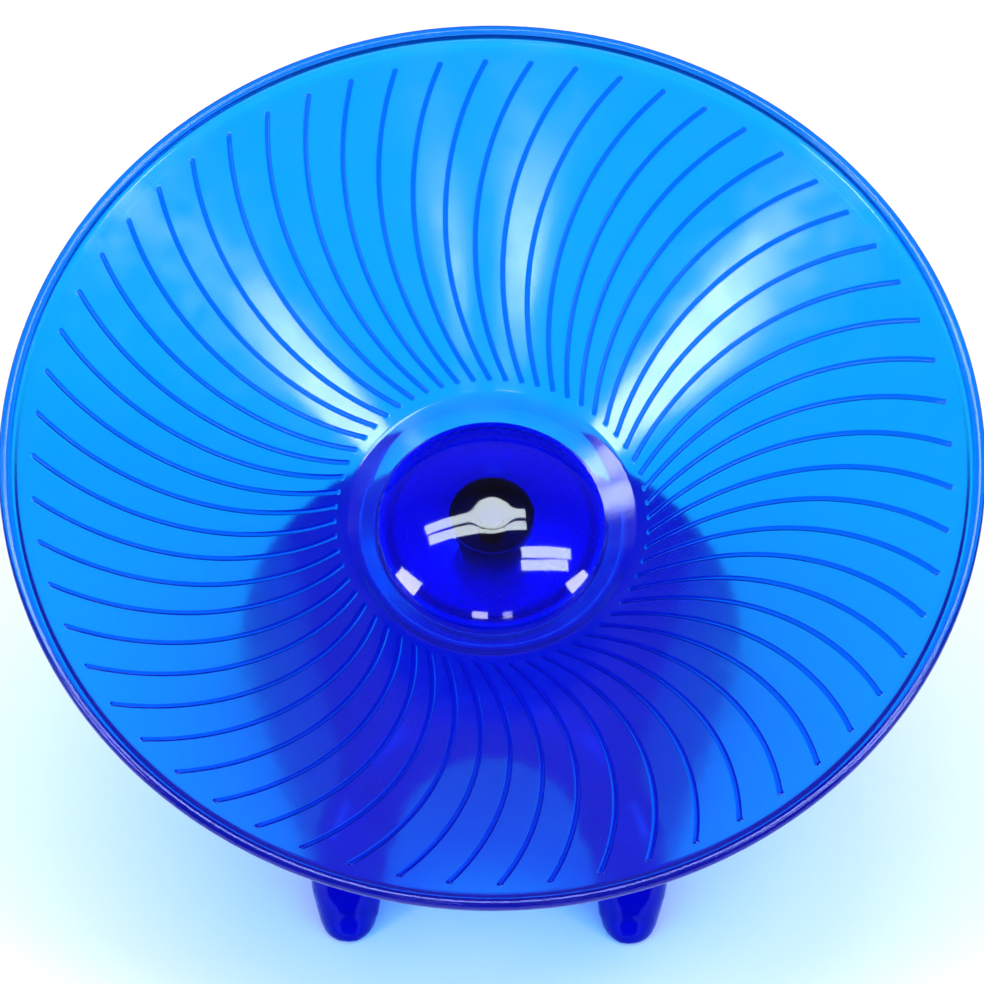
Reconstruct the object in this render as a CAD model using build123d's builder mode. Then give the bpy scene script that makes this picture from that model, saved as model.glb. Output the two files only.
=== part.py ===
from build123d import *
import os
from math import cos, radians, sin, sqrt, tan

# Flying saucer wheel for a hamster, all lengths in millimetres.
# A cone-shaped saucer with swirl ribs spins on two ball bearings in the tilted neck of a stand.
# The floor is z = 0 and the origin lies on it, straight below the centre of the saucer's rim.
# Heights along the saucer's axis are counted from the rim plane, so they are negative.

# Saucer
saucer_diameter = 190.0
saucer_tilt = 30.0  # degrees from level
rim_centre_height = 98.0  # above the floor
cone_slope = 28.5  # degrees
saucer_wall = 2.0
rim_lip_thickness = 2.9
rim_lip_height = 2.4
rim_lip_bevel = 0.75
rim_lip_stand = 0.6  # lip's middle above the running face
rim_taper = 2.0  # how far in the wall starts to thin below the lip

# Swirl ribs: each is a bow whose two ends lie on one radius
rib_count = 60
rib_width = 1.1
rib_height = 0.7
rib_inner_radius = 31.8
rib_outer_radius = 88.6
rib_bow = 8.6  # how far the middle of the bow stands off its chord
rib_start_angle = 1.3  # degrees

# Hub of the saucer
hub_ring_radius = 29.4  # where the cone ends
hub_ring_drop = 1.4  # step from the cone's end down to the flat ring
well_radius = 21.6
well_depth = 7.4
well_floor = 2.5
spigot_radius = 3.9
spigot_length = 4.6

# Hub cap
cap_radius = 22.9
cap_edge = 0.8
cap_rise = 5.4
cap_step_count = 6  # straight steps that the dome's curve is made of
cap_wall = 1.6
cap_skirt_depth = 5.6
cap_skirt_wall = 1.6
cap_boss_radius = 8.0
cap_boss_gap = 0.1  # between the boss and the well's floor
cap_fit = 0.05  # radial, between the skirt and the well

# Axle and bearings, 5 x 16 x 5 mm
axle_diameter = 5.0
axle_fit = 0.02  # radial, between the axle and what is pushed on it
axle_chamfer = 0.4
axle_front_cover = 1.5  # boss material left in front of the axle's end
axle_tail = 2.6  # axle behind the clip
bearing_diameter = 16.0
bearing_width = 5.0
bearing_fit = 0.02  # radial, between the outer ring and its seat
inner_shoulder_diameter = 7.8
outer_shoulder_diameter = 13.2
race_clearance = 0.08
ball_train_width = 3.6
seal_thickness = 0.3
seal_recess = 0.1
seal_gap = 0.2
washer_thickness = 1.0
washer_diameter = 8.0
bearing_spacing = 23.0  # between the middles of the two bearings
clip_diameter = 9.4
clip_thickness = 0.7
clip_groove_diameter = 4.0
clip_mouth = 3.6
clip_lobe = 1.1
clip_lobe_count = 3
clip_lobe_angle = 90.0  # one lobe lies opposite the mouth

# Neck of the stand
neck_gap = 3.1  # between the saucer's hub and the neck's face
neck_front_radius = 21.8
neck_rear_radius = 19.9
neck_wall = 2.4
neck_length = 36.0
neck_face = 2.5
seat_shoulder_radius = 6.5
barrel_radius = 10.4
barrel_overrun = 1.6  # barrel behind the rear bearing
web_count = 4
web_thickness = 1.8
web_length = 20.0
web_angle = 45.0
recess_radius = 25.2
recess_wall = 2.4

# Hood of the stand
hood_front = -30.5  # y of the front feet's toes
hood_rear = 57.0
hood_front_half_width = 33.0
hood_rear_half_width = 55.4
hood_side = 6.8  # height of the upright sides below the half-round top
hood_wall = 2.4
hood_lift = 3.0  # bottom edge above the floor
hood_front_lean = 20.0  # degrees back from upright
hood_edge_chamfer = 3.0
arch_half_width = 22.7
arch_top_half_width = 15.3
arch_height = 37.5
arch_corner = 8.5
rear_bar_height = 16.0
rear_bar_thickness = 2.4
rear_lip = 1.6
rear_lip_length = 3.0
foot_radius = 4.5
foot_spread = 2.3  # how much wider the top of a leg post is
foot_edge = 0.8
leg_post_height = 10.0
front_foot_inset = 4.9  # foot's middle behind the toe and inside the side
rear_foot_inset = 5.6

overrun = 5.0  # cutters run this far past what they cut

# Frame of the saucer: its axis leans towards the front, -Y
tilt = radians(saucer_tilt)
rim_centre = Vector(0, 0, rim_centre_height)
axis_direction = Vector(0, -sin(tilt), cos(tilt))
saucer_axis = Axis(rim_centre, axis_direction)
saucer_plane = Plane(origin=rim_centre, x_dir=(1, 0, 0), z_dir=axis_direction)
section_plane = Plane(origin=rim_centre, x_dir=(1, 0, 0), z_dir=(0, -cos(tilt), -sin(tilt)))

# Radii and heights that several pieces share
rim_radius = saucer_diameter / 2
lip_middle_radius = rim_radius - rim_lip_thickness / 2
slope = tan(radians(cone_slope))
cone_drop = saucer_wall / cos(radians(cone_slope))
cone_end_height = (hub_ring_radius - lip_middle_radius) * slope - rim_lip_stand
ring_height = cone_end_height - hub_ring_drop
well_floor_height = ring_height - well_depth
hub_back_height = well_floor_height - well_floor
spigot_end_height = hub_back_height - spigot_length
neck_face_height = hub_back_height - neck_gap
axle_radius = axle_diameter / 2
pushed_on_radius = axle_radius + axle_fit
front_bearing_height = spigot_end_height - bearing_width / 2
rear_bearing_height = front_bearing_height - bearing_spacing
clip_height = rear_bearing_height - bearing_width / 2 - washer_thickness - clip_thickness
cap_apex_height = ring_height + cap_edge + cap_rise
axle_front_height = cap_apex_height - cap_wall - axle_front_cover
axle_rear_height = clip_height - axle_tail

os.makedirs("parts", exist_ok=True)


def cone_height(radius):
    """Height of the saucer's running face at a radius."""
    return cone_end_height + (radius - hub_ring_radius) * slope


def write(piece, name):
    """Labels a finished piece and writes it."""
    piece.part.label = name
    export_step(piece.part, f"parts/{name}.step")


# Saucer: one revolved wall from the rim to the spigot, with the ribs on its running face
well_outer_radius = well_radius + saucer_wall
ring_back_height = ring_height - saucer_wall
back_corner_radius = hub_ring_radius + (ring_back_height + cone_drop - cone_end_height) / slope
ring_top_radius = hub_ring_radius - hub_ring_drop / 2
taper_radius = lip_middle_radius - rim_taper

with BuildSketch(Plane.XY) as rib_outline:
    with BuildLine():
        leading = SagittaArc((rib_inner_radius, rib_width / 2), (rib_outer_radius, rib_width / 2), rib_bow)
        trailing = SagittaArc((rib_inner_radius, -rib_width / 2), (rib_outer_radius, -rib_width / 2), rib_bow)
        Line(leading @ 0, trailing @ 0)
        Line(leading @ 1, trailing @ 1)
    make_face()

with BuildPart() as ribs:
    with BuildSketch(section_plane):
        with BuildLine():
            Polyline(
                (hub_ring_radius, cone_height(hub_ring_radius) - cone_drop / 2),
                (rim_radius, cone_height(rim_radius) - cone_drop / 2),
                (rim_radius, cone_height(rim_radius) + rib_height),
                (hub_ring_radius, cone_height(hub_ring_radius) + rib_height),
                close=True,
            )
        make_face()
    revolve(axis=saucer_axis)
    with BuildSketch(saucer_plane.offset(rib_height + overrun)):
        with PolarLocations(0, rib_count, start_angle=rib_start_angle):
            add(rib_outline.sketch)
    extrude(amount=cone_height(hub_ring_radius) - cone_drop - rib_height - overrun, mode=Mode.INTERSECT)

with BuildPart() as saucer:
    with BuildSketch(section_plane) as saucer_section:
        with Locations((lip_middle_radius, 0)):
            Rectangle(rim_lip_thickness, rim_lip_height)
        chamfer(saucer_section.vertices(), rim_lip_bevel)
        with BuildLine():
            Polyline(
                (pushed_on_radius, well_floor_height),
                (well_radius, well_floor_height),
                (well_radius, ring_height),
                (ring_top_radius, ring_height),
                (hub_ring_radius, cone_height(hub_ring_radius)),
                (lip_middle_radius, cone_height(lip_middle_radius)),
                (lip_middle_radius, -rim_lip_height / 2),
                (taper_radius, cone_height(taper_radius) - cone_drop),
                (back_corner_radius, ring_back_height),
                (well_outer_radius, ring_back_height),
                (well_outer_radius, hub_back_height),
                (spigot_radius, hub_back_height),
                (spigot_radius, spigot_end_height),
                (pushed_on_radius, spigot_end_height),
                close=True,
            )
        make_face()
    revolve(axis=saucer_axis)
    add(ribs.part)
write(saucer, "saucer")

# Hub cap: a shallow dome with a skirt pressed into the well and a thick boss on the axle's end
boss_end_height = well_floor_height + cap_boss_gap
skirt_radius = well_radius - cap_fit
skirt_end_height = ring_height - cap_skirt_depth
dome_inner_radius = skirt_radius - cap_skirt_wall
dome_curve_radius = (cap_radius**2 + cap_rise**2) / (2 * cap_rise)
dome_radii = [cap_radius * step / cap_step_count for step in range(cap_step_count + 1)]
dome_middle_height = cap_apex_height - dome_curve_radius
dome_points = [(r, dome_middle_height + sqrt(dome_curve_radius**2 - r**2)) for r in dome_radii]

with BuildPart() as hub_cap:
    with BuildSketch(section_plane):
        with BuildLine():
            Polyline(
                *dome_points,
                (cap_radius, ring_height),
                (skirt_radius, ring_height),
                (skirt_radius, skirt_end_height),
                (dome_inner_radius, skirt_end_height),
                (dome_inner_radius, ring_height),
                (cap_boss_radius, cap_apex_height - cap_wall),
                (0, cap_apex_height - cap_wall),
                close=True,
            )
        make_face()
        with BuildLine():
            Polyline(
                (axle_radius, boss_end_height),
                (cap_boss_radius, boss_end_height),
                (cap_boss_radius, cap_apex_height - cap_wall),
                (0, cap_apex_height - cap_wall),
                (0, axle_front_height),
                (axle_radius, axle_front_height),
                close=True,
            )
        make_face()
    revolve(axis=saucer_axis)
write(hub_cap, "hub_cap")

# Axle: a plain pin with a groove for the clip
with BuildPart() as axle:
    with BuildSketch(saucer_plane.offset(axle_front_height)):
        Circle(axle_radius)
    extrude(amount=axle_rear_height - axle_front_height)
    chamfer(axle.edges().filter_by(GeomType.CIRCLE).sort_by(Axis.Z)[0], axle_chamfer)
    with BuildSketch(saucer_plane.offset(clip_height)):
        Circle(axle_radius + overrun)
        Circle(clip_groove_diameter / 2, mode=Mode.SUBTRACT)
    extrude(amount=clip_thickness, mode=Mode.SUBTRACT)
write(axle, "axle")

# Spacer sleeve between the bearings' inner rings and the washer behind them
for name, bottom_height, thickness in (
    ("spacer_sleeve", rear_bearing_height + bearing_width / 2, bearing_spacing - bearing_width),
    ("washer", clip_height + clip_thickness, washer_thickness),
):
    with BuildPart() as spacer:
        with BuildSketch(saucer_plane.offset(bottom_height)):
            Circle(washer_diameter / 2)
            Circle(pushed_on_radius, mode=Mode.SUBTRACT)
        extrude(amount=thickness)
    write(spacer, name)

# Retaining clip: an E-clip that snaps into the axle's groove from one side
clip_grip_radius = clip_groove_diameter / 2 + axle_fit
with BuildPart() as retaining_clip:
    with BuildSketch(saucer_plane.offset(clip_height)):
        Circle(clip_diameter / 2)
        Circle(clip_diameter / 2 - clip_lobe, mode=Mode.SUBTRACT)
        with PolarLocations(0, clip_lobe_count, start_angle=clip_lobe_angle):
            with Locations((clip_diameter / 4 + clip_grip_radius / 2, 0)):
                Rectangle(clip_diameter / 2 - clip_grip_radius - clip_lobe / 2, 2 * clip_lobe)
        Circle(clip_grip_radius, mode=Mode.SUBTRACT)
        with Locations((0, -clip_diameter / 2)):
            Rectangle(clip_mouth, clip_diameter, mode=Mode.SUBTRACT)
    extrude(amount=clip_thickness)
write(retaining_clip, "retaining_clip")

# Bearings: two rings, the balls with their cage as one ring between them, and a seal
half_width = bearing_width / 2
inner_shoulder_radius = inner_shoulder_diameter / 2
outer_shoulder_radius = outer_shoulder_diameter / 2


def make_bearing(position, middle_height, seal_side):
    """One ball bearing with its middle at a height on the axle and its seal on side 1 or -1."""
    for ring_name, inside, outside, width in (
        ("inner_ring", pushed_on_radius, inner_shoulder_radius, bearing_width),
        ("outer_ring", outer_shoulder_radius, bearing_diameter / 2 - bearing_fit, bearing_width),
        (
            "ball_train",
            inner_shoulder_radius + race_clearance,
            outer_shoulder_radius - race_clearance,
            ball_train_width,
        ),
    ):
        with BuildPart() as ring:
            with BuildSketch(saucer_plane.offset(middle_height)):
                Circle(outside)
                Circle(inside, mode=Mode.SUBTRACT)
            extrude(amount=width / 2, both=True)
        write(ring, f"{position}_{ring_name}")

    with BuildPart() as seal:
        with BuildSketch(saucer_plane.offset(middle_height + seal_side * (half_width - seal_recess))):
            Circle(outer_shoulder_radius)
            Circle(inner_shoulder_radius + seal_gap, mode=Mode.SUBTRACT)
        extrude(amount=-seal_side * seal_thickness)
    write(seal, f"{position}_seal")


make_bearing("front", front_bearing_height, 1)
make_bearing("rear", rear_bearing_height, -1)

# Stand: vaulted hood, tapered neck with the bearing barrel, rear bar and four feet
front_lean = tan(radians(hood_front_lean))
hood_front_height = hood_front_half_width + hood_side
hood_rear_height = hood_rear_half_width + hood_side
roof_axis = Axis((0, 0, hood_side), (0, -1, 0))


def half_width_at(y):
    """Half of the hood's width at y, which grows evenly from the front to the rear."""
    growth = (hood_rear_half_width - hood_front_half_width) / (hood_rear - hood_front)
    return hood_front_half_width + (y - hood_front) * growth


def vault_block(front, rear, inward, bottom):
    """Vault from one y to another, inside its outer face by a distance: half a cone on upright sides."""
    front_half_width = half_width_at(front) - inward
    rear_half_width = half_width_at(rear) - inward
    with BuildPart() as block:
        with BuildSketch(Plane.XY.offset(hood_side)):
            with BuildLine():
                Polyline(
                    (0, front),
                    (front_half_width, front),
                    (rear_half_width, rear),
                    (0, rear),
                    close=True,
                )
            make_face()
        revolve(axis=roof_axis, revolution_arc=180)
        with BuildSketch(Plane.XY.offset(hood_side)):
            with BuildLine():
                Polyline(
                    (-front_half_width, front),
                    (front_half_width, front),
                    (rear_half_width, rear),
                    (-rear_half_width, rear),
                    close=True,
                )
            make_face()
        extrude(amount=bottom - hood_side)
    return block.part


def cut_front(forward):
    """Wedge in front of the leaning front face, moved back by a distance."""
    top = 2 * hood_front_height
    with BuildPart() as wedge:
        with BuildSketch(Plane.YZ):
            with BuildLine():
                Polyline(
                    (hood_front - overrun, -overrun),
                    (hood_front + forward - overrun * front_lean, -overrun),
                    (hood_front + forward + top * front_lean, top),
                    (hood_front - overrun, top),
                    close=True,
                )
            make_face()
        extrude(amount=hood_rear_half_width, both=True)
    return wedge.part


with BuildPart() as vault:
    add(vault_block(hood_front, hood_rear, 0, hood_lift))
    add(cut_front(0), mode=Mode.SUBTRACT)
    front_edges = vault.faces().sort_by(Axis.Y)[0].edges()
    chamfer(front_edges.filter_by(lambda edge: edge.center().Z > hood_lift + hood_wall), hood_edge_chamfer)

# The hollow runs on behind the hood at the same taper, so the rear end is open
with BuildPart() as hollow:
    add(vault_block(hood_front, hood_rear + overrun, hood_wall, -overrun))
    add(cut_front(hood_wall / cos(radians(hood_front_lean))), mode=Mode.SUBTRACT)
    hollow_edges = hollow.faces().sort_by(Axis.Y)[0].edges()
    chamfer(hollow_edges.filter_by(lambda edge: edge.center().Z > hood_wall), hood_edge_chamfer / 2)

neck_end_height = neck_face_height - neck_length
neck_plate_height = neck_face_height - neck_face
barrel_end_height = rear_bearing_height - half_width - barrel_overrun
above_rim = rim_radius - neck_face_height

with BuildPart() as recess_block:
    with BuildSketch(saucer_plane.offset(neck_plate_height)):
        Circle(recess_radius + recess_wall)
    extrude(amount=above_rim)
    add(vault.part, mode=Mode.INTERSECT)

# Feet, each with a post that thickens upwards inside the leg
rear_foot_y = hood_rear - rear_foot_inset
rear_foot_x = half_width_at(rear_foot_y) - rear_foot_inset
front_foot_x = hood_front_half_width - front_foot_inset
front_foot_y = hood_front + front_foot_inset
with BuildPart() as feet:
    for foot_x, foot_y in ((front_foot_x, front_foot_y), (rear_foot_x, rear_foot_y)):
        for side in (-1, 1):
            with BuildSketch():
                with Locations((side * foot_x, foot_y)):
                    Circle(foot_radius)
            with BuildSketch(Plane.XY.offset(leg_post_height)):
                with Locations((side * foot_x, foot_y)):
                    Circle(foot_radius + foot_spread)
            loft()
    chamfer(feet.edges().group_by(Axis.Z)[0], foot_edge)
with BuildPart() as foot_room:
    add(vault.part)
    with BuildSketch():
        Rectangle(4 * hood_rear_half_width, 4 * hood_rear_half_width)
    extrude(amount=hood_lift)
    add(feet.part, mode=Mode.INTERSECT)

with BuildPart() as lip:
    lip_front = hood_rear - rear_lip_length
    add(vault_block(lip_front, hood_rear, hood_wall / 2, hood_lift))
    add(vault_block(lip_front, hood_rear, hood_wall + rear_lip, hood_lift), mode=Mode.SUBTRACT)

with BuildPart() as stand:
    add(vault.part)
    add(hollow.part, mode=Mode.SUBTRACT)

    # Arch between the front legs
    with BuildSketch(Plane.XZ.offset(overrun - hood_front)):
        with BuildLine():
            arch_taper = (arch_half_width - arch_top_half_width) / arch_height
            low_half_width = arch_half_width + overrun * arch_taper
            FilletPolyline(
                (-low_half_width, -overrun),
                (-arch_top_half_width, arch_height),
                (arch_top_half_width, arch_height),
                (low_half_width, -overrun),
                radius=arch_corner,
            )
            Line((low_half_width, -overrun), (-low_half_width, -overrun))
        make_face()
    extrude(amount=hood_front - overrun, mode=Mode.SUBTRACT)

    # Lip round the open rear end and the bar across it
    add(lip.part)
    with BuildSketch(Plane.XZ.offset(-hood_rear)):
        with Locations((0, (hood_lift + rear_bar_height) / 2)):
            Rectangle(2 * (hood_rear_half_width - hood_wall), rear_bar_height - hood_lift)
    extrude(amount=rear_bar_thickness)

    # Recess for the saucer's hub, and the neck below it
    add(recess_block.part)
    with BuildSketch(section_plane):
        with BuildLine():
            Polyline(
                (0, neck_face_height),
                (neck_front_radius, neck_face_height),
                (neck_rear_radius, neck_end_height),
                (0, neck_end_height),
                close=True,
            )
        make_face()
    revolve(axis=saucer_axis)
    with BuildSketch(saucer_plane.offset(neck_face_height)):
        Circle(recess_radius)
    extrude(amount=above_rim, mode=Mode.SUBTRACT)
    with BuildSketch(section_plane):
        with BuildLine():
            Polyline(
                (barrel_radius, neck_plate_height),
                (neck_front_radius - neck_wall, neck_plate_height),
                (neck_rear_radius - neck_wall, neck_end_height),
                (0, neck_end_height),
                (0, barrel_end_height),
                (barrel_radius, barrel_end_height),
                close=True,
            )
        make_face()
    revolve(axis=saucer_axis, mode=Mode.SUBTRACT)

    # Webs between the barrel and the neck's wall
    with BuildSketch(saucer_plane.offset(neck_plate_height)):
        web_reach = neck_front_radius - neck_wall / 2 - barrel_radius + web_thickness
        with PolarLocations(barrel_radius - web_thickness + web_reach / 2, web_count, start_angle=web_angle):
            Rectangle(web_reach, web_thickness)
    extrude(amount=-web_length)

    # Bearing seats: a through bore with a shoulder between them
    front_seat_height = front_bearing_height - half_width
    rear_seat_height = rear_bearing_height + half_width
    for seat_start, seat_end, radius in (
        (neck_face_height + overrun, front_seat_height, bearing_diameter / 2),
        (front_seat_height, rear_seat_height, seat_shoulder_radius),
        (rear_seat_height, barrel_end_height - overrun, bearing_diameter / 2),
    ):
        with BuildSketch(saucer_plane.offset(seat_start)):
            Circle(radius)
        extrude(amount=seat_end - seat_start, mode=Mode.SUBTRACT)

    # Nothing stands out behind the hood
    with BuildSketch(Plane.XZ.offset(-hood_rear)):
        with Locations((0, hood_rear_height / 2)):
            Rectangle(4 * hood_rear_half_width, 4 * hood_rear_height)
    extrude(amount=-neck_length, mode=Mode.SUBTRACT)
    add(foot_room.part)
write(stand, "stand")
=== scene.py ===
from math import acos, atan2, cos, hypot, pi, radians, sin, sqrt, tan

import bmesh
import bpy
from mathutils import Matrix, Vector


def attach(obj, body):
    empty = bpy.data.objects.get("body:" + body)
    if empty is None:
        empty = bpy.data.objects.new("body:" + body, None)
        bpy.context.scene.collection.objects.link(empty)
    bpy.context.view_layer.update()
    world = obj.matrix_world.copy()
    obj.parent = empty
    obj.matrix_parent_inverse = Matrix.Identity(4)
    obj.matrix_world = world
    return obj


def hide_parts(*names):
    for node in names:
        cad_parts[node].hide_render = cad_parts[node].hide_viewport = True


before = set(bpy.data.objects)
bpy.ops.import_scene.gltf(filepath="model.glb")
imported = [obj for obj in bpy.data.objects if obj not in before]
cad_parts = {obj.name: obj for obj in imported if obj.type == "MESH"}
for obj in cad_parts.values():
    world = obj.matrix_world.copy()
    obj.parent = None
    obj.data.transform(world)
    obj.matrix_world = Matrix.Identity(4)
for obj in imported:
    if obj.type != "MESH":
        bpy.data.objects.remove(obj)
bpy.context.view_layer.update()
scene = bpy.context.scene
mm = 0.001

# The saucer's own frame, in mm: its origin is the middle of the rim, and its z runs along the tilted axle
tilt = radians(30)
rimCentre = Vector((0, 0, 98 * mm))
saucerFrame = Matrix.Translation(rimCentre) @ Matrix.Rotation(tilt, 4, "X") @ Matrix.Scale(mm, 4)

dish = {
    "rim": 95,
    "lip": 92.7,  # inner edge of the bead that runs round the rim
    "lipMiddle": 93.55,
    "lipTop": 1.1,
    "lipBottom": -0.9,
    "lipBack": (93.6, -1.35),
    "backRim": 91.55,  # where the back of the cone meets the bead
    "backDrop": 2.276,  # how far that place lies below the cone's face
    "cone": 29.4,  # where the cone meets the ring round the hub
    "face": (29.6, 91.5),  # the cone between its rounded edges
    "angle": radians(28.5),
    "wall": 2,
    "well": 21.6,
    "wellEdge": 0.28,  # how far the ring's inner edge lies below the cap's edge
    "spigot": 3.9,
    "bore": 2.52,
}

# Heights in that frame, from the rim plane
slope = tan(dish["angle"])
coneEnd = (dish["cone"] - dish["lipMiddle"]) * slope - 0.6
ringHeight = coneEnd - 1.4
wellFloor = ringHeight - 7.4
hubBack = wellFloor - 2.5
spigotEnd = hubBack - 4.6
frontBearing = spigotEnd - 2.5
rearBearing = frontBearing - 23
clipHeight = rearBearing - 4.2
capApex = ringHeight + 6.2


def linear(code):
    # sRGB hex to the linear colour that shaders use
    parts = [int(code[i : i + 2], 16) / 255 for i in (0, 2, 4)]
    return [p / 12.92 if p <= 0.04045 else ((p + 0.055) / 1.055) ** 2.4 for p in parts] + [1]


def addNode(tree, kind, sockets=None, **settings):
    made = tree.nodes.new("ShaderNode" + kind)
    for key, value in settings.items():
        setattr(made, key, value)
    for key, value in (sockets or {}).items():
        if isinstance(value, bpy.types.NodeSocket):
            tree.links.new(value, made.inputs[key])
        else:
            made.inputs[key].default_value = value
    return made


def remap(tree, value, start, end, low=0.0, high=1.0):
    # Goes from start to end while the value goes from low to high
    limits = {"From Min": low, "From Max": high, "To Min": start, "To Max": end}
    return addNode(tree, "MapRange", {"Value": value, **limits}).outputs["Result"]


def noise(tree, scale, detail):
    place = addNode(tree, "TexCoord").outputs["Object"]
    return addNode(tree, "TexNoise", {"Vector": place, "Scale": scale, "Detail": detail}).outputs["Fac"]


def newMaterial(name):
    material = bpy.data.materials.new(name)
    material.use_nodes = True
    material.node_tree.nodes.clear()
    return material, material.node_tree


def finishMesh(bm, name, body, material, sharp, replaces=()):
    # Closes a mesh, gives it its material and ties it to its body
    bmesh.ops.remove_doubles(bm, verts=bm.verts, dist=1e-6)
    bmesh.ops.recalc_face_normals(bm, faces=bm.faces)
    mesh = bpy.data.meshes.new(name)
    bm.to_mesh(mesh)
    bm.free()
    mesh.shade_smooth()
    mesh.set_sharp_from_angle(angle=radians(sharp))
    piece = bpy.data.objects.new(name, mesh)
    scene.collection.objects.link(piece)
    mesh.materials.append(material)
    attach(piece, body)
    if replaces:
        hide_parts(*replaces)
    return piece


def addProfile(bm, corners, closed=True):
    # Corners are (radius, height, rounding) in mm; a rounding is how far from the corner the curve starts
    # A point just past each end of a curve keeps the flat beside it flat where it is shaded smooth
    pastCurve = 1.2
    chain = []
    for i, (r, h, rounding) in enumerate(corners):
        corner = Vector((r, 0, h))
        around = [Vector((n[0], 0, n[1])) for n in (corners[i - 1], corners[(i + 1) % len(corners)])]
        held = [corner + (n - corner).normalized() * rounding * pastCurve for n in around]
        chain += [(held[0], 0), (corner, rounding), (held[1], 0)] if rounding else [(corner, 0)]
    verts = [bm.verts.new(place) for place, _ in chain]
    for pair in zip(verts, verts[1:]):
        bm.edges.new(pair)
    if closed:
        bm.edges.new((verts[-1], verts[0]))
    for vert, (_, rounding) in zip(verts, chain):
        if rounding:
            bmesh.ops.bevel(
                bm, geom=[vert], affect="VERTICES", offset=rounding, segments=3, profile=0.5, material=-1
            )


def spinAround(bm, angle, steps, **options):
    geom = bm.verts[:] + bm.edges[:] + bm.faces[:]
    bmesh.ops.spin(bm, geom=geom, axis=(0, 0, 1), cent=(0, 0, 0), angle=angle, steps=steps, **options)


def turnedPiece(name, body, material, corners, node, steps=72, sharp=35, closed=True):
    # A piece turned round the axle, from its corners
    bm = bmesh.new()
    addProfile(bm, corners, closed)
    spinAround(bm, 2 * pi, steps, use_merge=True)
    bmesh.ops.transform(bm, matrix=saucerFrame, verts=bm.verts)
    finishMesh(bm, name, body, material, sharp, [node])


def addRing(bm, segments, matrix):
    ring = bmesh.ops.create_circle(bm, segments=segments, radius=1, matrix=matrix)["verts"]
    return ring, [e for e in bm.edges if e.verts[0] in ring and e.verts[1] in ring]


def extrudeFaces(bm, faces, shift):
    raised = bmesh.ops.extrude_face_region(bm, geom=faces)["geom"]
    bmesh.ops.translate(bm, vec=shift, verts=[v for v in raised if isinstance(v, bmesh.types.BMVert)])


def byDepth(tree, value):
    # A pair goes from its first value to its second while the attribute "deeper" goes from 0 to 1
    if not isinstance(value, tuple):
        return linear(value) if isinstance(value, str) else value
    deeper = addNode(tree, "Attribute", attribute_name="deeper").outputs["Fac"]
    if isinstance(value[0], str):
        colours = {6: linear(value[0]), 7: linear(value[1])}
        return addNode(tree, "Mix", {0: deeper, **colours}, data_type="RGBA").outputs[2]
    return remap(tree, deeper, *value)


# Dyed polystyrene, injection moulded in a polished mould: glossy and clear, with soft waves where the melt
# flowed and a few spots rubbed duller by use. In place of caustics, light for shadows goes straight through
# with a grey loss and takes up the dye's colour on its way.
def bluePlastic(name, look):
    material, tree = newMaterial(name)
    bump = {"Height": noise(tree, 55.0, 2.0), "Strength": 0.2, "Distance": look["ripple"]}
    rubbed = remap(tree, noise(tree, 160.0, 6.0), 1.0, 1.8, 0.35, 0.75)
    gloss = addNode(tree, "Math", {0: byDepth(tree, look["roughness"]), 1: rubbed}, operation="MULTIPLY")
    surface = {
        "Base Color": byDepth(tree, look["tint"]),
        "Roughness": gloss.outputs[0],
        "IOR": 1.59,
        "Specular Tint": byDepth(tree, look["sheen"]),
        "Transmission Weight": byDepth(tree, look["clarity"]),
        "Normal": addNode(tree, "Bump", bump).outputs["Normal"],
    }
    body = addNode(tree, "BsdfPrincipled", surface).outputs["BSDF"]
    if "milk" in look:
        milk = addNode(tree, "BsdfDiffuse", {"Color": linear("0820C8")}).outputs["BSDF"]
        body = addNode(tree, "MixShader", {0: look["milk"], 1: body, 2: milk}).outputs[0]
    isShadow = addNode(tree, "LightPath").outputs["Is Shadow Ray"]
    through = addNode(tree, "BsdfTransparent", {"Color": [look["shade"]] * 3 + [1]}).outputs["BSDF"]
    shell = addNode(tree, "MixShader", {0: isShadow, 1: body, 2: through})
    inside = addNode(tree, "VolumeAbsorption", {"Color": look["dye"], "Density": look["density"]})
    addNode(tree, "OutputMaterial", {"Surface": shell.outputs[0], "Volume": inside.outputs[0]})
    return material


# Saucer: thin walls with little dye, so they pass light brightly. The ribs are thicker and a deeper blue,
# the rim half as much. The dye scatters a little, so edges that pass no light look blue and not black.
saucerLook = {
    "tint": ("5AF6FF", "1474F4"),
    "sheen": ("FFFFFF", "6078FF"),
    "roughness": (0.085, 0.09),
    "clarity": 1.0,
    "milk": 0.1,
    "dye": (0.006, 0.866, 0.998, 1),
    "density": 2600.0,
    "ripple": 0.2 * mm,
    "shade": 0.86,
}
saucerPlastic = bluePlastic("clearBluePolystyrene", saucerLook)

# Stand: thick walls with much dye, so it looks nearly solid and its reflections are blue
standLook = {
    "tint": "0206B4",
    "sheen": "6078FF",
    "roughness": 0.05,
    "clarity": 0.5,
    "dye": (0.05, 0.96, 0.998, 1),
    "density": 3700.0,
    "ripple": 0.3 * mm,
    "shade": 0.98,
}
standPlastic = bluePlastic("blueMouldedPolystyrene", standLook)

# Cap: a clear polished dome over an underside that was etched in the mould, so the blue below it is even
capLook = {
    "tint": ("FFFFFF", "0808D4"),
    "sheen": ("FFFFFF", "6078FF"),
    "roughness": (0.03, 0.25),
    "clarity": (1.0, 0.5),
    "dye": (0.006, 0.7, 0.997, 1),
    "density": 4200.0,
    "ripple": 0.2 * mm,
    "shade": 0.86,
}
capPlastic = bluePlastic("deepBluePolystyrene", capLook)


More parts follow.
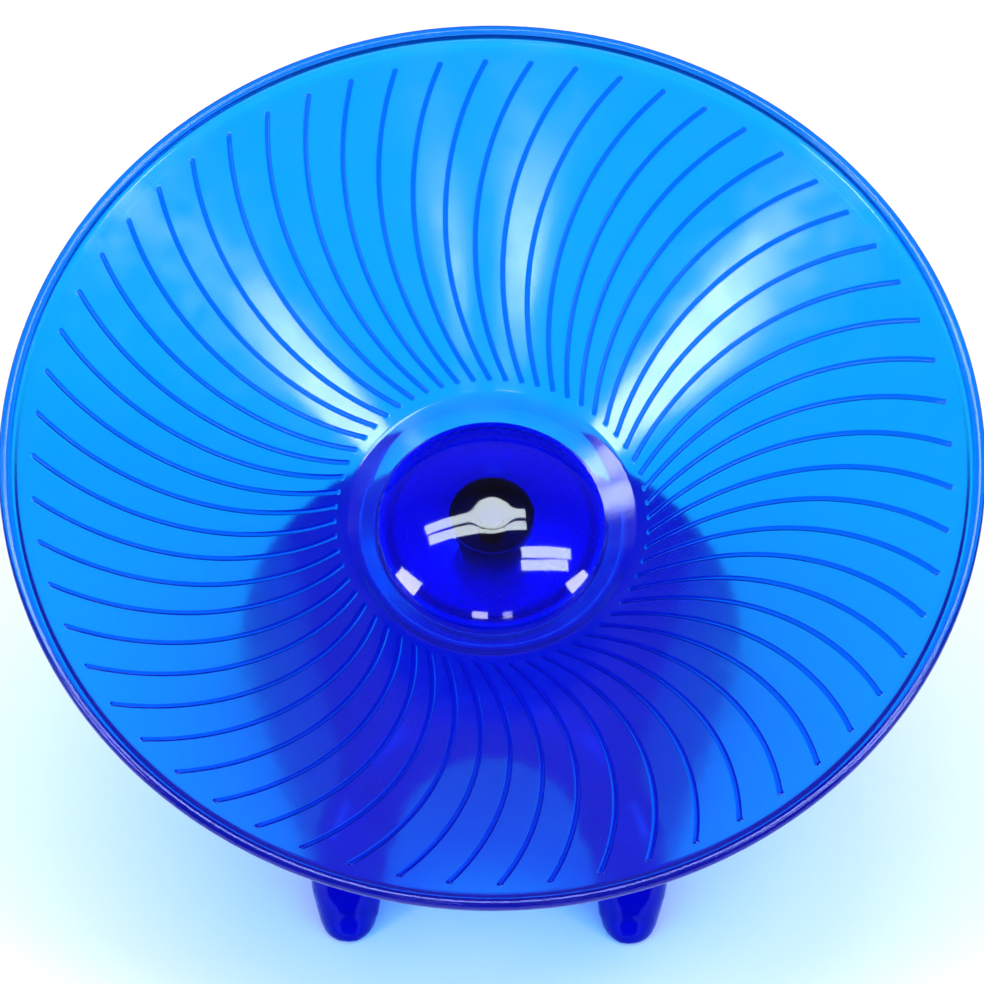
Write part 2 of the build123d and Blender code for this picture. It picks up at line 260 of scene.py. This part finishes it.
def opaqueMaterial(name, code, grain, roughness, metallic=0.0, bumpDepth=None):
    # grain is a noise's scale and detail; a pair for roughness is what the noise moves between
    material, tree = newMaterial(name)
    skin = noise(tree, *grain)
    surface = {"Base Color": linear(code), "Metallic": metallic, "Roughness": roughness}
    if isinstance(roughness, tuple):
        surface["Roughness"] = remap(tree, skin, *roughness)
    if bumpDepth:
        bump = addNode(tree, "Bump", {"Height": skin, "Strength": 0.3, "Distance": bumpDepth})
        surface["Normal"] = bump.outputs["Normal"]
    shader = addNode(tree, "BsdfPrincipled", surface)
    addNode(tree, "OutputMaterial", {"Surface": shader.outputs[0]})
    return material


def metal(name, code, roughness):
    return opaqueMaterial(name, code, (900.0, 4.0), (roughness * 0.7, roughness * 1.5), metallic=1.0)


# Painted shade in the cap's boss: its dark grey-black faces stand in for the deep blue of thick plastic and
# the shaded steel pin inside, so the disc under the dome is a soft black. Its skin is finely uneven
bossPaintedShade = opaqueMaterial("bossPaintedShade", "3A3A3C", (700.0, 4.0), (0.35, 0.55))

# Bare steel. Grinding and lapping leave it bright enough to mirror, while turned bars and pressed or
# stamped strip keep fine tool marks that blur what they reflect.
groundSteel = metal("groundBearingSteel", "C9C8C4", 0.16)
polishedSteel = metal("lappedBallSteel", "D6D5D2", 0.05)
turnedSteel = metal("turnedMildSteel", "B9B7B2", 0.24)
pressedSteel = metal("pressedSteelStrip", "A9A7A2", 0.3)
springSteel = metal("springSteel", "8E8C88", 0.28)

# Rubber vulcanised in a blasted mould, so it is matt with a fine grain
sealRubber = opaqueMaterial("sealRubber", "1B1B1D", (1500.0, 3.0), 0.55, bumpDepth=0.1 * mm)
print("materials")

# Saucer: one sector with one rib, spun round sixty times
rib = {
    "inner": 31.8,
    "outer": 88.6,
    "height": 0.3,
    "half": 0.57,  # half its width
    "fall": 0.27,  # width of its sloping side
    "swell": 0.7,  # below 1 the side is bulged
    "start": radians(1.3),
    "bow": (60.2, -42.6),  # middle of the circle that it lies on
    "proud": (0.05, 0.5),  # heights over the cone that count as rib
}
ribCount = 60
sector = 2 * pi / ribCount
ribRadius = hypot(rib["inner"] - rib["bow"][0], rib["bow"][1])
centreReach = hypot(*rib["bow"])
centreAngle = atan2(rib["bow"][1], rib["bow"][0])
innerRows = [31.1, 31.25, 31.4, 31.6, rib["inner"]]
outerRows = [rib["outer"], 88.8, 89.0, 89.15, 89.3]

# Lines of vertices across a sector, by their distance from the rib's middle; None is the sector's edge
across = (None, -0.68, -0.57, -0.48, -0.38, -0.28, 0.28, 0.38, 0.48, 0.57, 0.68, None)
columns = len(across) - 1


def swirl(radius, distance):
    # Angle at which a line that runs beside the rib's bow crosses a radius
    reach = (radius**2 + centreReach**2 - (ribRadius + distance) ** 2) / (2 * radius * centreReach)
    return centreAngle + acos(reach)


def coneHeight(radius):
    return coneEnd + (radius - dish["cone"]) * slope


bm = bmesh.new()
ringBack = ringHeight - dish["wall"]
backCorner = dish["cone"] + (ringBack + dish["wall"] / cos(dish["angle"]) - coneEnd) / slope
backRim = (dish["backRim"], coneHeight(dish["backRim"]) - dish["backDrop"])
hubOuter = dish["well"] + dish["wall"]
corners = [(dish["bore"], wellFloor, 0), (dish["well"], wellFloor, 0.4)]
corners += [(dish["well"], ringHeight - dish["wellEdge"], 0.3), (dish["cone"], coneEnd, 0.4)]
corners += [(r, coneHeight(r), 0) for r in innerRows + outerRows]
corners += [(dish["lip"], coneHeight(dish["lip"]), 0.6), (dish["lip"], dish["lipTop"], 0.9)]
corners += [(dish["rim"], dish["lipTop"], 0.9), (dish["rim"], dish["lipBottom"], 0.7)]
corners += [(*dish["lipBack"], 0.5), (*backRim, 0.8), (backCorner, ringBack, 0.8)]
corners += [(hubOuter, ringBack, 0.5), (hubOuter, hubBack, 0.5), (dish["spigot"], hubBack, 0.3)]
corners += [(dish["spigot"], spigotEnd, 0.2), (dish["bore"], spigotEnd, 0)]
addProfile(bm, corners)
longEdges = [e for e in bm.edges if e.calc_length() > 50]
front = max(longEdges, key=lambda e: sum(v.co.z for v in e.verts))
back = [e for e in longEdges if e != front]
bmesh.ops.subdivide_edges(bm, edges=[front], cuts=27)
bmesh.ops.subdivide_edges(bm, edges=back, cuts=9)
spinAround(bm, sector, columns)
for vert in bm.verts:
    radius = hypot(vert.co.x, vert.co.y)
    column = round(atan2(vert.co.y, vert.co.x) / sector * columns)
    onFace = dish["face"][0] < radius < dish["face"][1] and abs(vert.co.z - coneHeight(radius)) < 0.01
    near = min(max(radius, rib["inner"]), rib["outer"]) if onFace else rib["inner"]
    beside = across[column]
    if beside is None:
        angle = swirl(near, 0) + (sector / 2 if column else -sector / 2)
    else:
        angle = swirl(near, beside)
        away = hypot(beside, radius - near)
        if onFace and away < rib["half"]:
            vert.co.z += rib["height"] * min((rib["half"] - away) / rib["fall"], 1) ** rib["swell"]
    turn = angle - swirl(rib["inner"], 0) + rib["start"]
    vert.co.x, vert.co.y = radius * cos(turn), radius * sin(turn)
spinAround(bm, sector * (ribCount - 1), ribCount - 1, use_duplicate=True)
bmesh.ops.remove_doubles(bm, verts=bm.verts, dist=1e-4)
deeper = bm.verts.layers.float.new("deeper")
for vert in bm.verts:
    radius = hypot(vert.co.x, vert.co.y)
    over = vert.co.z - coneHeight(radius)
    onRib = innerRows[0] < radius < outerRows[-1] and rib["proud"][0] < over < rib["proud"][1]
    onRim = radius > dish["lip"] - 0.2
    vert[deeper] = 1.0 * onRib + 0.5 * onRim
bmesh.ops.transform(bm, matrix=saucerFrame, verts=bm.verts)
saucer = finishMesh(bm, "saucerMoulding", "saucer", saucerPlastic, 35, ["saucer"])
print("saucer", len(saucer.data.polygons))

# Hub cap: dome, skirt and boss in one moulding, with the shallow gate mark at the apex
dome = {
    "edge": 22.9,
    "rise": 5.4,
    "rim": 0.8,  # height of the straight edge under the dome
    "skirtOuter": 21.55,
    "skirtInner": 19.95,
    "skirtTop": ringHeight - 0.8,
    "skirtEnd": ringHeight - 5.6,
    "boss": 8,
    "bossTop": capApex - 2.2,
    "bossEnd": wellFloor + 0.1,
    "bore": 2.5,
    "boreTop": capApex - 3.1,
    "mark": 4.2,
    "markDepth": 0.17,
    "clear": 9.6,  # radius of the polished window over the boss
    "etched": 0.75,  # how far under the dome the etched underside begins
}
domeRadius = (dome["edge"] ** 2 + dome["rise"] ** 2) / (2 * dome["rise"])


def domeHeight(radius):
    return capApex - domeRadius + sqrt(domeRadius**2 - radius**2)


bm = bmesh.new()
corners = [(0, capApex - dome["markDepth"], 0), (dome["edge"], ringHeight + dome["rim"], 0.3)]
corners += [(dome["edge"], ringHeight, 0.2), (dome["skirtOuter"], ringHeight, 0)]
corners += [(dome["skirtOuter"], dome["skirtEnd"], 0.3), (dome["skirtInner"], dome["skirtEnd"], 0.3)]
corners += [(dome["skirtInner"], dome["skirtTop"], 1), (dome["boss"], dome["bossTop"], 1)]
corners += [(dome["boss"], dome["bossEnd"], 0.3), (dome["bore"], dome["bossEnd"], 0)]
corners += [(dome["bore"], dome["boreTop"], 0), (0, dome["boreTop"], 0)]
addProfile(bm, corners, closed=False)
atApex = [e for e in bm.edges if max(v.co.z for v in e.verts) > capApex - 0.3]
split = bmesh.ops.subdivide_edges(bm, edges=[max(atApex, key=lambda e: e.calc_length())], cuts=30)["geom"]
for vert in {v for e in split if isinstance(e, bmesh.types.BMEdge) for v in e.verts}:
    radius = vert.co.x
    vert.co.z = domeHeight(radius)
    if radius < dome["mark"]:
        vert.co.z -= dome["markDepth"] * (1 - (radius / dome["mark"]) ** 2) ** 1.1
spinAround(bm, 2 * pi, 144, use_merge=True)
deeper = bm.verts.layers.float.new("deeper")
for vert in bm.verts:
    reach = min(hypot(vert.co.x, vert.co.y), dome["edge"] - 0.1)
    vert[deeper] = float(vert.co.z < domeHeight(reach) - dome["etched"] and reach > dome["clear"])
# The boss's faces take the second material, a black that is painted shade
for face in bm.faces:
    middle = face.calc_center_median()
    onBoss = hypot(middle.x, middle.y) < dome["boss"] + 0.1 and middle.z < dome["bossTop"] - 0.1
    face.material_index = int(onBoss)
bmesh.ops.transform(bm, matrix=saucerFrame, verts=bm.verts)
cap = finishMesh(bm, "hubCapMoulding", "saucer", capPlastic, 35, ["hub_cap"])
cap.data.materials.append(bossPaintedShade)
print("cap", len(cap.data.polygons))

# Stand: the CAD's shape with full tapered front legs and a round arch, remeshed so that every edge is as
# soft as a moulding's
legRings = (
    # height, half width, half depth, middle's x and y
    (0, 5, 6.3, 28.2, -27.9),
    (0.9, 5.6, 7, 28.2, -27.5),
    (4, 6.3, 7.2, 28.5, -25.9),
    (8, 7.2, 7.5, 28.8, -24),
    (18, 7.5, 7.6, 28.3, -19.2),
    (24, 5.6, 5.6, 26.6, -16.4),
    (27, 3, 3, 25, -15),
)
bm = bmesh.new()
bm.from_mesh(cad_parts["stand"].data)
bmesh.ops.remove_doubles(bm, verts=bm.verts, dist=1e-6)
for side in (-1, 1):
    rings = []
    for height, halfWidth, halfDepth, x, y in legRings:
        place = Matrix.Translation((side * x, y, height)) @ Matrix.Diagonal((halfWidth, halfDepth, 1, 1))
        ring, edges = addRing(bm, 48, place)
        rings.append(edges)
        for vert in ring:
            vert.co *= mm
    for lower, upper in zip(rings, rings[1:]):
        bmesh.ops.bridge_loops(bm, edges=lower + upper)
    for end in (rings[0], rings[-1]):
        bmesh.ops.contextual_create(bm, geom=end)

# The arch's top is a half ring in the front wall, which lowers and rounds the CAD's opening
arch = {
    "springing": 17,
    "inner": (18, 16.2),  # half width and height
    "outer": (26, 22.5),
    "toe": -30.5,
    "lean": tan(radians(20)),
    "wall": 2.3,
}
before = set(bm.verts)
loops = []
for halfWidth, halfHeight in (arch["inner"], arch["outer"]):
    place = Matrix.Rotation(pi / 2, 4, "X") @ Matrix.Diagonal((halfWidth, halfHeight, 1, 1))
    loops += addRing(bm, 64, place)[1]
band = bmesh.ops.bridge_loops(bm, edges=loops)["faces"]
geom = band + loops + [v for v in bm.verts if v not in before] + [e for face in band for e in face.edges]
geom = list(dict.fromkeys(geom))
bmesh.ops.bisect_plane(bm, geom=geom, plane_co=(0, 0, 0), plane_no=(0, 0, 1), clear_inner=True)
halfRing = dict.fromkeys(f for v in bm.verts if v not in before for f in v.link_faces)
extrudeFaces(bm, list(halfRing), (0, arch["wall"], 0))
for vert in bm.verts:
    if vert not in before:
        height = vert.co.z + arch["springing"]
        vert.co = Vector((vert.co.x, vert.co.y + arch["toe"] + height * arch["lean"], height)) * mm
bmesh.ops.recalc_face_normals(bm, faces=bm.faces)
rough = bpy.data.meshes.new("standRough")
bm.to_mesh(rough)
bm.free()
shell = bpy.data.objects.new("standRough", rough)
scene.collection.objects.link(shell)
softening = {"voxel": 0.82 * mm, "rounds": 6}
remesh = shell.modifiers.new("remesh", "REMESH")
remesh.mode = "VOXEL"
remesh.voxel_size = softening["voxel"]
bm = bmesh.new()
bm.from_object(shell, bpy.context.evaluated_depsgraph_get())
bpy.data.objects.remove(shell)
for _ in range(softening["rounds"]):
    bmesh.ops.smooth_vert(bm, verts=bm.verts, factor=0.5, use_axis_x=True, use_axis_y=True, use_axis_z=True)
stand = finishMesh(bm, "standMoulding", "stand", standPlastic, 60, ["stand"])
print("stand", len(stand.data.polygons))

# Axle: a ground pin with a chamfered tail, a rounded nose and a groove as wide as its clip is thick
axle = {"radius": 2.5, "nose": capApex - 3.2, "tail": clipHeight - 2.6, "groove": 2.0, "chamfer": 0.4}
clip = {"outer": 4.7, "inner": 3.6, "grip": 2.02, "lobe": 0.99, "mouth": 1.6, "thickness": 0.7, "edge": 0.08}
clipTop = clipHeight + clip["thickness"]
corners = [(0, axle["nose"], 0), (axle["radius"], axle["nose"], 0.25), (axle["radius"], clipTop, 0.05)]
corners += [(axle["groove"], clipTop, 0.08), (axle["groove"], clipHeight, 0.08)]
corners += [(axle["radius"], clipHeight, 0.05), (axle["radius"], axle["tail"] + axle["chamfer"], 0.06)]
corners += [(axle["radius"] - axle["chamfer"], axle["tail"], 0.06), (0, axle["tail"], 0)]
turnedPiece("axlePin", "saucer", groundSteel, corners, "axle", sharp=30, closed=False)

# Sleeve and washer: turned tubes with broken edges, each from its low end to its high one
tube = {"inner": 2.52, "outer": 4}
for name, node, low, high, edge in (
    ("spacerTurned", "spacer_sleeve", rearBearing + 2.5, frontBearing - 2.5, 0.25),
    ("washerTurned", "washer", clipTop, clipTop + 1, 0.15),
):
    corners = [(tube["inner"], low, edge), (tube["outer"], low, edge)]
    corners += [(tube["outer"], high, edge), (tube["inner"], high, edge)]
    turnedPiece(name, "saucer", turnedSteel, corners, node)

# E-clip stamped from spring strip: a ring with three lobes inside and a mouth
bm = bmesh.new()
addProfile(bm, [(clip["inner"], clipHeight, 0), (clip["outer"], clipHeight, 0)], closed=False)
spinAround(bm, 2 * pi, 120, use_merge=True)
for vert in bm.verts:
    if hypot(vert.co.x, vert.co.y) < clip["inner"] + 0.1:
        turn = atan2(vert.co.y, vert.co.x)
        nearLobe = min(abs((turn - radians(90 + 120 * k) + pi) % (2 * pi) - pi) for k in range(3))
        if nearLobe * clip["grip"] < clip["lobe"]:
            vert.co.x, vert.co.y = clip["grip"] * cos(turn), clip["grip"] * sin(turn)
middles = [(face, face.calc_center_median()) for face in bm.faces]
inMouth = [face for face, middle in middles if abs(middle.x) < clip["mouth"] and middle.y < 0]
bmesh.ops.delete(bm, geom=inMouth, context="FACES")
extrudeFaces(bm, bm.faces[:], (0, 0, clip["thickness"]))
bmesh.ops.recalc_face_normals(bm, faces=bm.faces)
rims = [e for e in bm.edges if len(e.link_faces) == 2 and e.calc_face_angle() > radians(60)]
bmesh.ops.bevel(bm, geom=rims, affect="EDGES", offset=clip["edge"], segments=2, profile=0.5, material=-1)
bmesh.ops.transform(bm, matrix=saucerFrame, verts=bm.verts)
finishMesh(bm, "retainingClipStamped", "saucer", springSteel, 30, ["retaining_clip"])

# Bearings: rings with ground races, seven balls in a ribbon cage and one rubber seal each
bearing = {
    "half": 2.5,
    "bore": 2.52,
    "outer": 7.98,
    "pitch": 5.25,
    "balls": 7,
    "ball": 1.389,
    "race": 1.46,
    "raceSteps": 5,  # on either side of the groove's middle
    "innerShoulder": 3.9,
    "outerShoulder": 6.6,
}
seal = {"face": 2.4, "wall": 0.3, "step": 0.08, "lip": 4.1, "foot": 4.5, "slope": 4.7}
cage = {"inner": 4.55, "outer": 5.95, "seam": 0.12, "room": 0.08, "wall": 0.22}


def raceway(middle, side):
    # Points of the groove that the balls run in: side is -1 for the inner ring and 1 for the outer one
    shoulder = bearing["innerShoulder"] if side < 0 else bearing["outerShoulder"]
    opening = acos((shoulder - bearing["pitch"]) * side / bearing["race"])
    steps = bearing["raceSteps"]
    turns = [opening * (1 - k / steps) * side for k in range(2 * steps + 1)]
    reach = side * bearing["race"]
    return [(bearing["pitch"] + reach * cos(t), middle + bearing["race"] * sin(t), 0) for t in turns]


for position, middle, sealSide in (("front", frontBearing, 1), ("rear", rearBearing, -1)):
    low, high = middle - bearing["half"], middle + bearing["half"]
    shoulder = bearing["innerShoulder"]
    corners = [(bearing["bore"], high, 0.25), (bearing["bore"], low, 0.25), (shoulder, low, 0.12)]
    corners += raceway(middle, -1) + [(shoulder, high, 0.12)]
    node = position + "_inner_ring"
    turnedPiece(position + "InnerRace", "saucer", groundSteel, corners, node, 96, 25)
    shoulder = bearing["outerShoulder"]
    corners = [(bearing["outer"], low, 0.3), (bearing["outer"], high, 0.3), (shoulder, high, 0.12)]
    corners += raceway(middle, 1) + [(shoulder, low, 0.12)]
    node = position + "_outer_ring"
    turnedPiece(position + "OuterRace", "stand", groundSteel, corners, node, 96, 25)

    # Seal: a rubber disc with a lip that stays clear of the inner ring
    face = middle + sealSide * seal["face"]
    under = face - sealSide * seal["wall"]
    step = face - sealSide * seal["step"]
    corners = [(shoulder, face, 0.05), (shoulder, under, 0.05), (seal["lip"], under, 0.08)]
    corners += [(seal["lip"], step, 0.05), (seal["foot"], step, 0.05), (seal["slope"], face, 0.05)]
    turnedPiece(position + "RubberSeal", "stand", sealRubber, corners, position + "_seal")

    # Cage: two pressed ribbons that swell round each ball
    bm = bmesh.new()
    for side in (-1, 1):
        height = middle + side * cage["seam"]
        addProfile(bm, [(cage["inner"], height, 0), (cage["outer"], height, 0)], closed=False)
    spinAround(bm, 2 * pi, bearing["balls"] * 16, use_merge=True)
    for vert in bm.verts:
        share = atan2(vert.co.y, vert.co.x) * bearing["balls"] / (2 * pi)
        along = ((share + 0.5) % 1 - 0.5) * 2 * pi * bearing["pitch"] / bearing["balls"]
        lift = sqrt(max((bearing["ball"] + cage["room"]) ** 2 - along**2, cage["seam"] ** 2))
        vert.co.z = middle + (lift if vert.co.z > middle else -lift)
    bmesh.ops.recalc_face_normals(bm, faces=bm.faces)
    bmesh.ops.solidify(bm, geom=bm.faces[:], thickness=cage["wall"])
    bmesh.ops.transform(bm, matrix=saucerFrame, verts=bm.verts)
    node = position + "_ball_train"
    finishMesh(bm, position + "BallCage", "ball_trains", pressedSteel, 40, [node])
    bm = bmesh.new()
    for i in range(bearing["balls"]):
        turn = 2 * pi * i / bearing["balls"]
        place = Matrix.Translation((bearing["pitch"] * cos(turn), bearing["pitch"] * sin(turn), middle))
        bmesh.ops.create_icosphere(bm, subdivisions=3, radius=bearing["ball"], matrix=place)
    bmesh.ops.transform(bm, matrix=saucerFrame, verts=bm.verts)
    finishMesh(bm, position + "BearingBalls", "ball_trains", polishedSteel, 60)
print("axle and bearings")

# Floor: a table in matt white paint, which shows no reflections and takes the blue shadow
floorMaterial, tree = newMaterial("whiteTable")
paint = addNode(tree, "BsdfDiffuse", {"Color": (0.7, 0.7, 0.7, 1)})
addNode(tree, "OutputMaterial", {"Surface": paint.outputs[0]})
bm = bmesh.new()
bmesh.ops.create_grid(bm, x_segments=1, y_segments=1, size=3)
mesh = bpy.data.meshes.new("table")
bm.to_mesh(mesh)
bm.free()
table = bpy.data.objects.new("table", mesh)
mesh.materials.append(floorMaterial)
scene.collection.objects.link(table)

# Lamps, each by its direction from the dish's middle: azimuth from the viewer's side, then elevation
dishMiddle = Vector((0, 0, 0.068))
lampDistance = 1.5


def direction(azimuth, elevation):
    a, e = radians(azimuth), radians(elevation)
    return Vector((cos(e) * sin(a), -cos(e) * cos(a), sin(e)))


def addLamp(name, place, size, brightness, along=None, colour=(1, 1, 1)):
    # brightness is how bright its face looks, white being 1
    lamp = bpy.data.lights.new(name, "AREA")
    lamp.shape = "RECTANGLE"
    lamp.size, lamp.size_y = size
    lamp.color = colour
    lamp.energy = brightness * pi * size[0] * size[1]
    made = bpy.data.objects.new(name, lamp)
    scene.collection.objects.link(made)
    back = (place - dishMiddle).normalized()
    side = (along or Vector((0, 0, 1)).cross(back)).normalized()
    side = (side - back * side.dot(back)).normalized()
    turned = Matrix((side, back.cross(side), back)).transposed().to_4x4()
    made.matrix_world = Matrix.Translation(place) @ turned


for name, azimuth, elevation, size, brightness in (
    ("softboxRight", 57, 35, (0.31, 0.32), 12),
    ("softboxLeft", -55, 35.5, (0.35, 0.36), 13),
    ("cameraLampRight", 9.5, 35.4, (0.11, 0.08), 6),
    ("cameraLampLeft", -6.5, 35.4, (0.19, 0.08), 9),
):
    addLamp(name, dishMiddle + direction(azimuth, elevation) * lampDistance, size, brightness)

# Ceiling fittings: each is two strips side by side, set apart by a share of their width
strip = {"height": 1.5, "apart": 0.66, "brightness": 12, "colour": (0.86, 0.97, 1)}
for name, start, end, width in (
    ("stripLong", (-68, 60), (68, 73), 0.13),
    ("stripShort", (28, 60), (60, 49), 0.165),
):
    ends = [dishMiddle + direction(*d) * (strip["height"] / direction(*d).z) for d in (start, end)]
    along = ends[1] - ends[0]
    beside = along.cross(Vector((0, 0, 1))).normalized() * width * strip["apart"]
    for i, shift in enumerate((-1, 1)):
        place = (ends[0] + ends[1]) / 2 + beside * shift
        addLamp(f"{name}{i}", place, (along.length, width), strip["brightness"], along, strip["colour"])

# World: white to the camera, and soft light from above the viewer on matt surfaces. Where the plastic
# mirrors it, it is a dim room that gets lighter towards the back. Light that was mirrored inside a wall or
# has passed two walls is weakened too, so the hood stays deep blue.
viewerSky = (0, -0.5, 0.866)
world = bpy.data.worlds.new("studio")
scene.world = world
world.use_nodes = True
tree = world.node_tree
tree.nodes.clear()
path = addNode(tree, "LightPath").outputs
glossy, depth = path["Is Glossy Ray"], path["Transmission Depth"]
toSky = addNode(tree, "TexCoord").outputs["Generated"]
parts = addNode(tree, "SeparateXYZ", {"Vector": toSky})
room = remap(tree, parts.outputs["Y"], 0.06, 0.22, 0.1, 0.75)
towards = addNode(tree, "VectorMath", {0: toSky, 1: viewerSky}, operation="DOT_PRODUCT")
above = remap(tree, towards.outputs["Value"], 0.68, 2.5, 0.8, 1.0)
faded = remap(tree, depth, 0.85, 0.25, 2.5, 3.5)
deep = addNode(tree, "Mix", {0: glossy, 2: faded, 3: 0.18})
seen = addNode(tree, "Math", {0: glossy, 1: path["Is Transmission Ray"]}, operation="MAXIMUM")
outside = addNode(tree, "Math", {0: depth, 1: 0.5}, operation="LESS_THAN")
mirrored = addNode(tree, "Math", {0: glossy, 1: outside.outputs[0]}, operation="MULTIPLY")
calm = addNode(tree, "Mix", {0: seen.outputs[0], 2: above, 3: deep.outputs[0]})
strength = addNode(tree, "Mix", {0: mirrored.outputs[0], 2: calm.outputs[0], 3: room})
whole = addNode(tree, "Mix", {0: path["Is Camera Ray"], 2: strength.outputs[0], 3: 1.0})
sky = addNode(tree, "Background", {"Color": (1, 1, 1, 1), "Strength": whole.outputs[0]})
addNode(tree, "OutputWorld", {"Surface": sky.outputs[0]})

# Camera, worked out from the photograph
camera = bpy.data.cameras.new("camera")
camera.lens = 132.691
camera.sensor_width = 36
viewer = bpy.data.objects.new("camera", camera)
viewer.location = (0, -0.584331, 0.481776)
viewer.rotation_euler = [radians(a) for a in (55.919937, -0.354991, 0.240164)]
scene.collection.objects.link(viewer)
scene.camera = viewer
scene.view_settings.view_transform = "Standard"
print("studio")

bpy.context.view_layer.update()
